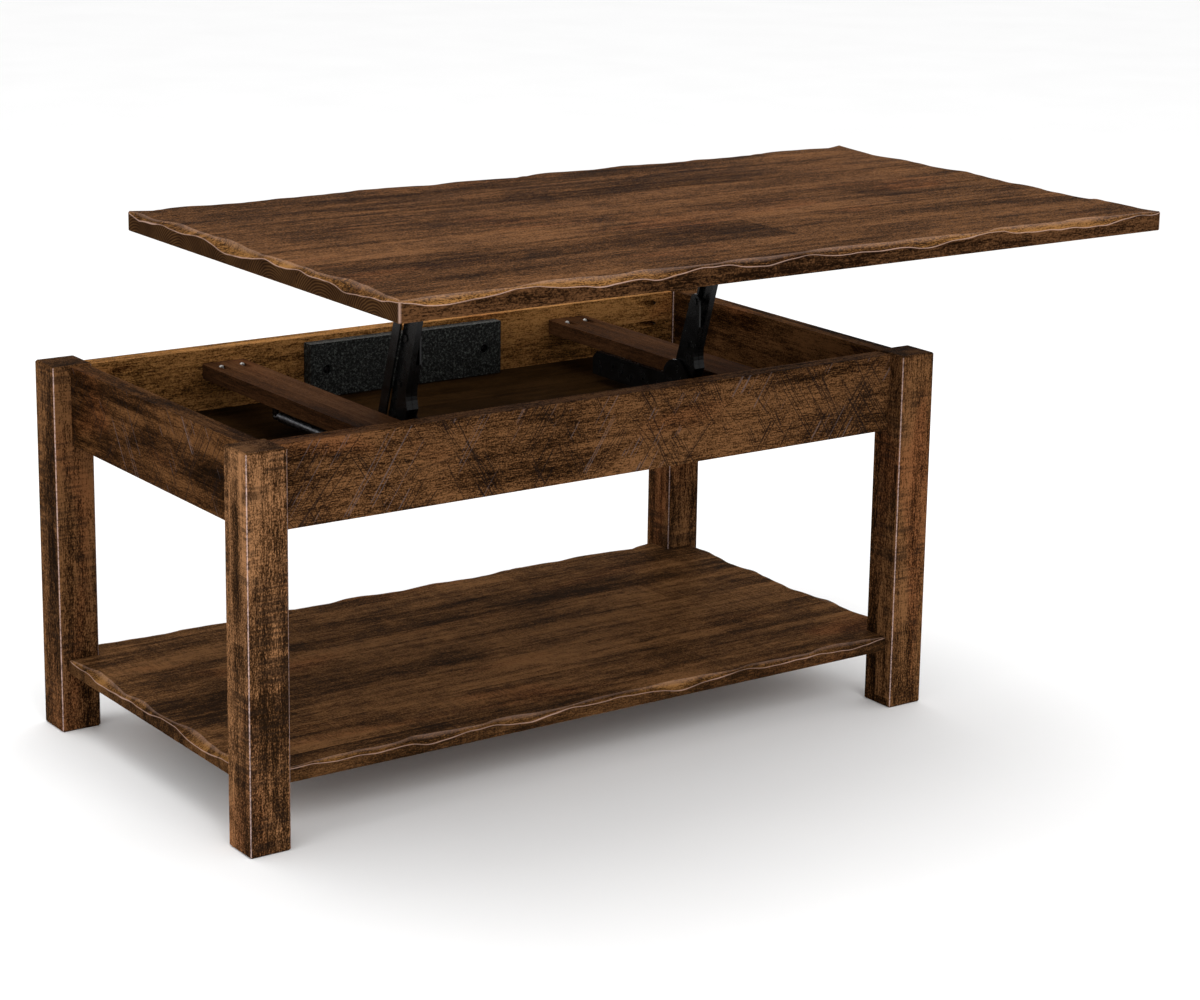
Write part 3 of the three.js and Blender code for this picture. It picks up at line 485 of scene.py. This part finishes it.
def wrinkle_black():
    look = Look("wrinkle_black_paint")
    cells = look.nodes.new("ShaderNodeTexVoronoi")
    cells.feature = "SMOOTH_F1"
    look.feed(cells.inputs["Vector"], look.place(scale=(260, 260, 260)))
    cells.inputs["Scale"].default_value = 1
    cells.inputs["Smoothness"].default_value = 0.6
    wrinkle = look.noise(look.place(scale=(330, 330, 330)), 1, 3, 0.6, 0.8)
    height = look.math("MULTIPLY_ADD", cells.outputs["Distance"], -0.8, wrinkle)
    # The pale colour on the wrinkle peaks is a painted highlight, the glint of the paint's grain
    color = look.ramp(wrinkle, [(0.50, (0.0008, 0.0010, 0.0008)), (0.68, (0.085, 0.095, 0.085))])
    look.set("Base Color", color)
    look.set("Roughness", look.span(wrinkle, 0.3, 0.7, 0.6, 0.35))
    look.set("Specular IOR Level", 0.25)
    look.set("Normal", look.bump(height, 1.1 * MM, 1.0))
    return look.material


def bare_steel(name, tint, roughness, scale):
    look = Look(name)
    brushed = look.noise(look.place(scale=scale), 1, 4, 0.6)
    dirt = look.noise(look.place(scale=(180, 180, 180)), 1, 3, 0.6)
    dark = tuple(0.35 * channel for channel in tint)
    look.set("Base Color", look.ramp(dirt, [(0.3, dark), (0.62, tint)]))
    look.set("Metallic", 1.0)
    look.set("Roughness", look.math("MULTIPLY_ADD", brushed, 0.3, roughness))
    look.set("Normal", look.bump(brushed, 0.05 * MM, 0.5))
    return look.material


# ---------------------------------------------------------------------------
# Mesh helpers


def new_piece(name, mesh_builder, material, body, stands_for):
    mesh = bpy.data.meshes.new(name)
    mesh_builder.to_mesh(mesh)
    mesh_builder.free()
    piece = bpy.data.objects.new(name, mesh)
    bpy.context.scene.collection.objects.link(piece)
    mesh.materials.append(material)
    if body:
        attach(piece, body)
    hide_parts(*stands_for)
    return piece


def paint(node_name, material):
    piece = nodes[node_name]
    piece.data.materials.clear()
    piece.data.materials.append(material)


def bevel(node_name, width, segments=2):
    modifier = nodes[node_name].modifiers.new("eased edges", "BEVEL")
    modifier.width = width
    modifier.segments = segments
    modifier.limit_method = "ANGLE"
    modifier.angle_limit = math.radians(40)
    modifier.harden_normals = False


# ---------------------------------------------------------------------------
# Slabs with a live edge


CORNER_ROUND = 3 * MM
ROUND_STEPS = 4
# Length over which a chamfer grows from a corner
CORNER_EASE = 30 * MM
OUTLINE_STEP = 5 * MM
LEAST_RUN = 1.6 * MM
LEAST_DROP = 1.1 * MM
CORNER_CHAMFER = 1.5 * MM
PLAIN_CHAMFER = 1.2 * MM
UNDER_CHAMFER = 1.0 * MM
# Width of the eased strip, which gets a painted highlight, where a chamfer meets a face
NIB = 0.7 * MM
PROFILE_POINTS = 8
SHARP_ANGLE = math.radians(28)


class LiveEdge:
    """Depths of the hand-cut chamfer along an outline."""

    waves = ((0.127, 1.0), (0.211, 1.2), (0.337, 1.0), (0.073, 0.45), (0.039, 0.14))

    def __init__(self, seed, run, drop):
        self.seed = seed
        self.run = run
        self.drop = drop

    def wander(self, distance, shift):
        """Smooth wander along the edge, about -1.5 to 1.5, with steeper rises than falls."""
        total = 0
        weights = 0
        for number, (length, weight) in enumerate(self.waves):
            phase = 2 * math.pi * distance / length + self.seed * (1.7 + number) + shift * (2.1 + number)
            total += weight * math.sin(phase + 0.55 * math.sin(phase))
            weights += weight
        return 1.7 * total / weights

    def depths(self, distance):
        drop = self.drop * (1 + 0.75 * self.wander(distance, 0.0))
        run = self.run * (1 + 0.45 * self.wander(distance, 0.35) + 0.35 * self.wander(distance, 3.3))
        return max(run, LEAST_RUN), max(drop, LEAST_DROP)


def outline_point(place, inward, distance, live, ease, arris):
    return {
        "place": place,
        "inward": inward,
        "distance": distance,
        "live": live,
        "ease": ease,
        "arris": arris,
    }


def rounded_corner(corner, inward_back, inward, distance):
    """Points round a corner, from the edge before it to the edge after it."""
    centre = corner + (inward_back + inward) * CORNER_ROUND
    points = []
    for number in range(ROUND_STEPS + 1):
        turn = number / ROUND_STEPS * math.pi / 2
        normal = inward_back * math.cos(turn) + inward * math.sin(turn)
        arris = 1 - abs(2 * number / ROUND_STEPS - 1)
        place = centre - normal * CORNER_ROUND
        points.append(outline_point(place, normal, distance, True, 0.0, arris))
    return points


def outline_points(corners, live, step):
    """Points along an outline, walked with the slab on the left."""
    points = []
    walked = 0
    count = len(corners)
    round_here = [live[index] and live[index - 1] for index in range(count)]
    for index in range(count):
        start = Vector(corners[index])
        end = Vector(corners[(index + 1) % count])
        before = Vector(corners[index - 1])
        direction = (end - start).normalized()
        back = (start - before).normalized()
        inward = Vector((-direction.y, direction.x))
        inward_back = Vector((-back.y, back.x))
        length = (end - start).length
        if round_here[index]:
            points += rounded_corner(start, inward_back, inward, walked)
        else:
            points.append(outline_point(start, inward + inward_back, walked, False, 0.0, 0.0))
        steps = max(1, round(length / step)) if live[index] else 1
        for number in range(1, steps):
            along = length * number / steps
            place = start + direction * along
            ease = min(1.0, min(along, length - along) / CORNER_EASE)
            points.append(outline_point(place, inward, walked + along, live[index], ease, 0.0))
        walked += length
    return points


def live_slab(name, corners, live, low, high, edge, material, body, stands_for):
    """A slab whose profile is inset, height, painted arris highlight and chamfer, from the bottom to the top.
    """
    builder = bmesh.new()
    arris_highlight_layer = builder.verts.layers.float.new("arris_highlight")
    chamfer_layer = builder.verts.layers.float.new("chamfer")
    points = outline_points(corners, live, OUTLINE_STEP)
    rings = [[] for _ in range(PROFILE_POINTS)]
    for point in points:
        run, drop = edge.depths(point["distance"])
        if point["live"]:
            run = CORNER_CHAMFER + (run - CORNER_CHAMFER) * point["ease"]
            drop = CORNER_CHAMFER + (drop - CORNER_CHAMFER) * point["ease"]
        else:
            run = drop = PLAIN_CHAMFER
        nib = min(NIB, 0.3 * run)
        sag = 0.12 * min(run, drop)
        past = 1.2 * nib
        # The painted arris highlight also runs round the rounded corners
        corner_highlight = 0.8 * point["arris"]
        profile = (
            (UNDER_CHAMFER, low, 0, 0),
            (0.0, low + UNDER_CHAMFER, corner_highlight, 0),
            (0.0, high - drop - nib, corner_highlight, 0),
            (0.35 * nib, high - drop + 0.35 * nib, 1, 0.6),
            (past, high - drop + past * drop / run, 0, 1),
            (run / 2 + sag, high - drop / 2 - sag, 0, 1),
            (run - nib, high - 0.15 * nib, 0.3, 0.7),
            (run + nib, high, 0, 0),
        )
        for ring, (inset, height, arris_highlight, chamfer) in zip(rings, profile):
            place = point["place"] + point["inward"] * inset
            vertex = builder.verts.new((place.x, place.y, height))
            vertex[arris_highlight_layer] = arris_highlight if point["live"] else 0.3 * arris_highlight
            vertex[chamfer_layer] = chamfer if point["live"] else 0
            ring.append(vertex)
    count = len(points)
    for lower, upper in zip(rings, rings[1:]):
        for index in range(count):
            after = (index + 1) % count
            face = builder.faces.new((lower[index], lower[after], upper[after], upper[index]))
            face.smooth = True
    bottom = builder.faces.new(list(reversed(rings[0])))
    top = builder.faces.new(rings[-1])
    top_edges = list(top.edges)
    builder.normal_update()
    bmesh.ops.triangulate(builder, faces=[bottom, top], ngon_method="EAR_CLIP")
    builder.normal_update()
    for side_edge in builder.edges:
        if len(side_edge.link_faces) == 2 and side_edge.calc_face_angle() > SHARP_ANGLE:
            side_edge.smooth = False
    for top_edge in top_edges:
        top_edge.smooth = False
    return new_piece(name, builder, material, body, stands_for)


def rectangle(low, high):
    return [(low.x, low.y), (high.x, low.y), (high.x, high.y), (low.x, high.y)]


def make_top():
    low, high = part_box("top")
    material = wood(
        "top_wood", "X", TOP_STAIN, 3.1, board_width=0.108, block_length=1.9, tone_swing=0.2,
        mottle=0.9, speckle=1.6, end_grain=True, live_edge_colour_and_highlight=True,
    )
    edge = LiveEdge(seed=2.3, run=10 * MM, drop=6 * MM)
    corners = rectangle(low, high)
    live = [True] * 4
    return live_slab("live_edge_top", corners, live, low.z, high.z, edge, material, "lifting_top", ["top"])


def make_shelf():
    low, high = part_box("shelf")
    leg_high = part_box("leg_front_left")[1]
    gap = 0.3 * MM
    notch_x = -leg_high.x - gap
    notch_front = leg_high.y + gap
    rear_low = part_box("leg_rear_left")[0]
    notch_rear = rear_low.y - gap
    corners = [
        (-notch_x, low.y), (notch_x, low.y), (notch_x, notch_front), (high.x, notch_front),
        (high.x, notch_rear), (notch_x, notch_rear), (notch_x, high.y), (-notch_x, high.y),
        (-notch_x, notch_rear), (low.x, notch_rear), (low.x, notch_front), (-notch_x, notch_front),
    ]
    live = [True, False, False] * 4
    material = wood(
        "shelf_wood", "X", SHELF_STAIN, 8.6, board_width=0.083, block_length=0.34, tone_swing=0.35,
        mottle=0.9, speckle=1.3, chatter=0.35, live_edge_colour_and_highlight=True,
    )
    edge = LiveEdge(seed=5.9, run=8 * MM, drop=5.5 * MM)
    return live_slab("live_edge_shelf", corners, live, low.z, high.z, edge, material, "base", ["shelf"])


make_top()
make_shelf()

# ---------------------------------------------------------------------------
# Carried-over wood

for number, word in enumerate(("front_left", "front_right", "rear_left", "rear_right")):
    leg_look = wood(
        f"leg_wood_{word}", "Z", FRONT_LEG_STAIN if word == "front_left" else STAIN, 11.3 + 2.9 * number,
        board_width=0.027, block_length=2.0, speckle=1.5, chatter=0.65, edge_highlight=0.85,
    )
    paint(f"leg_{word}", leg_look)

# Each end's stain, the sign of its outer face, and its outer tint
END_APRONS = {"front": (STAIN, -1, None), "rear": (INSIDE_STAIN, 1, OUTSIDE_TINT)}

for number, word in enumerate(ENDS):
    stain, outer_sign, tint = END_APRONS[word]
    apron_look = wood(
        f"apron_wood_{word}", "X", stain, 23.7 + 3.3 * number, board_width=0.2, block_length=3.0,
        mottle=0.75, speckle=1.5, scratches=0.9, scratched_face=(1, outer_sign), outer_tint=tint,
    )
    paint(f"apron_{word}", apron_look)

for number, word in enumerate(SIDES):
    apron_look = wood(
        f"apron_wood_{word}", "Y", SIDE_STAIN, 31.9 + 3.7 * number,
        board_width=0.2, block_length=3.0, scratches=0.8, scratched_face=(0, SIDE_SIGN[word]),
    )
    paint(f"apron_{word}", apron_look)
    stretcher_look = wood(
        f"stretcher_wood_{word}", "Y", STRETCHER_STAIN, 41.3 + 2.1 * number,
        board_width=0.2, block_length=3.0, mottle=0.6, speckle=0.7,
    )
    paint(f"stretcher_{word}", stretcher_look)

floor_look = wood("box_floor_wood", "X", FLOOR_STAIN, 51.7, board_width=0.3, block_length=3.0, speckle=0.7)
paint("box_floor", floor_look)

# ---------------------------------------------------------------------------
# Lift mechanisms

STEEL = black_steel()
SCREW_STEEL = bare_steel("screw_steel", (0.34, 0.32, 0.30), 0.25, (300, 300, 300))
SPRING_STEEL = bare_steel("spring_steel", (0.20, 0.20, 0.21), 0.22, (500, 500, 500))
BLACK_PARTS = (
    "base_bracket", "main_arm", "arm_inner_channel", "rear_link", "lift_shaft", "spring_yoke", "top_bracket",
)

for side in SIDES:
    for part in BLACK_PARTS:
        paint(f"{part}_{side}", STEEL)
        bevel(f"{part}_{side}", 0.5 * MM, 1)
    paint(f"counterweight_screw_{side}", STEEL)
paint("counterweight", wrinkle_black())
bevel("counterweight", 1.0 * MM)

for name in nodes:
    if name.startswith(("pocket_screw", "top_bracket_screw")):
        paint(name, SCREW_STEEL)


SPRING_WIRE = 1.1 * MM
SPRING_HOOK = 14 * MM
SPRING_PITCH = 2.35 * SPRING_WIRE
STEPS_PER_TURN = 14
WIRE_SIDES = 8
# A hook's bow in millimetres: outward from the coil's axis, and in from the end
HOOK_BOW = [(-3.2, 1.6), (-1.4, 1.1), (0.0, 1.1), (1.6, 1.4), (3.4, 3.2), (4.2, 6.0), (4.6, 9.5)]


def tube(builder, path, radius, sides):
    """A round wire along a list of points."""
    rings = []
    normal = None
    for index, point in enumerate(path):
        before = path[max(index - 1, 0)]
        after = path[min(index + 1, len(path) - 1)]
        tangent = (after - before).normalized()
        if normal is None:
            normal = tangent.orthogonal().normalized()
        normal = (normal - tangent * normal.dot(tangent)).normalized()
        binormal = tangent.cross(normal)
        ring = []
        for number in range(sides):
            angle = 2 * math.pi * number / sides
            offset = normal * math.cos(angle) + binormal * math.sin(angle)
            ring.append(builder.verts.new(point + offset * radius))
        rings.append(ring)
    for first, second in zip(rings, rings[1:]):
        for number in range(sides):
            after = (number + 1) % sides
            face = builder.faces.new((first[number], first[after], second[after], second[number]))
            face.smooth = True
    builder.faces.new(list(reversed(rings[0])))
    builder.faces.new(rings[-1])


def make_spring(side):
    """A close-wound tension spring with a hook through the bracket's lug and one through the yoke."""
    low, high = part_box(f"lift_spring_{side}")
    outer = (high.z - low.z) / 2
    coil_radius = outer - SPRING_WIRE
    centre_x = SIDE_SIGN[side] * (min(abs(low.x), abs(high.x)) + outer)
    centre_z = (low.z + high.z) / 2
    rear = high.y - SPRING_HOOK
    front = low.y + SPRING_HOOK
    turns = round((rear - front) / SPRING_PITCH)

    def at(outward, y, z=0.0):
        return Vector((centre_x + SIDE_SIGN[side] * outward, y, centre_z + z))

    path = [at(x * MM, high.y - y * MM) for x, y in HOOK_BOW]
    for step in range(turns * STEPS_PER_TURN + 1):
        angle = 2 * math.pi * step / STEPS_PER_TURN
        share = step / (turns * STEPS_PER_TURN)
        y = rear + (front - rear) * share
        path.append(at(coil_radius * math.cos(angle), y, coil_radius * math.sin(angle)))
    path += [at(x * MM, low.y + y * MM) for x, y in reversed(HOOK_BOW)]
    builder = bmesh.new()
    tube(builder, path, SPRING_WIRE, WIRE_SIDES)
    spring = new_piece(f"close_wound_spring_{side}", builder, SPRING_STEEL, None, [f"lift_spring_{side}"])
    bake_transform(spring)


for side in SIDES:
    make_spring(side)

# ---------------------------------------------------------------------------
# Floor, light and camera


FLOOR_REACH = 30.0
LIGHT_TARGET = (0, 0, 0.4)
# Each softbox's place, size and power
SOFTBOXES = {
    "key_softbox": ((-0.6, -4.2, 3.4), (2.6, 2.0), 75),
    "side_softbox": ((-4.0, -0.8, 2.6), (2.2, 1.8), 15),
    "overhead_softbox": ((-0.6, 0.2, 4.2), (3.4, 2.4), 50),
}
CAMERA_PLACE = (-2.011, -2.914, 1.313)
# Yaw to the right of +Y, pitch down and roll, in degrees
CAMERA_ANGLES = (35.95, 13.46, 1.10)
# Millimetres
SENSOR_WIDTH = 36.0
LENS = 87.63
# Shares of the frame's width
SHIFT_LEFT = 1 / 30
SHIFT_DOWN = 1 / 12
CLIP_END = 200


def make_floor():
    look = Look("studio_floor")
    speckle = look.noise(look.place(scale=(3, 3, 3)), 1, 2, 0.5)
    look.set("Base Color", look.ramp(speckle, [(0.3, (0.94, 0.94, 0.94)), (0.7, (0.96, 0.96, 0.96))]))
    look.set("Roughness", 0.9)
    builder = bmesh.new()
    ground = cad_box[0][2]
    corners = rectangle(Vector((-FLOOR_REACH, -FLOOR_REACH)), Vector((FLOOR_REACH, FLOOR_REACH)))
    builder.faces.new([builder.verts.new((x, y, ground)) for x, y in corners])
    mesh = bpy.data.meshes.new("studio_floor")
    builder.to_mesh(mesh)
    builder.free()
    floor = bpy.data.objects.new("studio_floor", mesh)
    bpy.context.scene.collection.objects.link(floor)
    mesh.materials.append(look.material)


def make_light(name, place, size, power):
    light = bpy.data.lights.new(name, "AREA")
    light.shape = "RECTANGLE"
    light.size, light.size_y = size
    light.energy = power
    holder = bpy.data.objects.new(name, light)
    holder.location = place
    holder.rotation_euler = (Vector(LIGHT_TARGET) - Vector(place)).to_track_quat("-Z", "Y").to_euler()
    bpy.context.scene.collection.objects.link(holder)


def make_world():
    world = bpy.data.worlds.new("studio_air")
    world.use_nodes = True
    background = world.node_tree.nodes["Background"]
    background.inputs["Color"].default_value = (1, 1, 1, 1)
    background.inputs["Strength"].default_value = 1.0
    bpy.context.scene.world = world


def make_camera():
    yaw, pitch, roll = (math.radians(angle) for angle in CAMERA_ANGLES)
    forward = Vector((math.sin(yaw) * math.cos(pitch), math.cos(yaw) * math.cos(pitch), -math.sin(pitch)))
    level = Vector((math.cos(yaw), -math.sin(yaw), 0))
    upright = level.cross(forward)
    right = level * math.cos(roll) + upright * math.sin(roll)
    up = upright * math.cos(roll) - level * math.sin(roll)
    camera_data = bpy.data.cameras.new("camera")
    camera_data.sensor_width = SENSOR_WIDTH
    camera_data.lens = LENS
    camera_data.shift_x = -SHIFT_LEFT
    camera_data.shift_y = -SHIFT_DOWN
    camera_data.clip_end = CLIP_END
    camera = bpy.data.objects.new("camera", camera_data)
    turn = Matrix((right, up, -forward)).transposed().to_4x4()
    camera.matrix_world = Matrix.Translation(CAMERA_PLACE) @ turn
    bpy.context.scene.collection.objects.link(camera)
    bpy.context.scene.camera = camera


make_floor()
make_world()
for softbox_name, (place, size, power) in SOFTBOXES.items():
    make_light(softbox_name, place, size, power)
make_camera()
bpy.context.scene.view_settings.view_transform = "Standard"
bpy.context.scene.view_settings.look = "None"
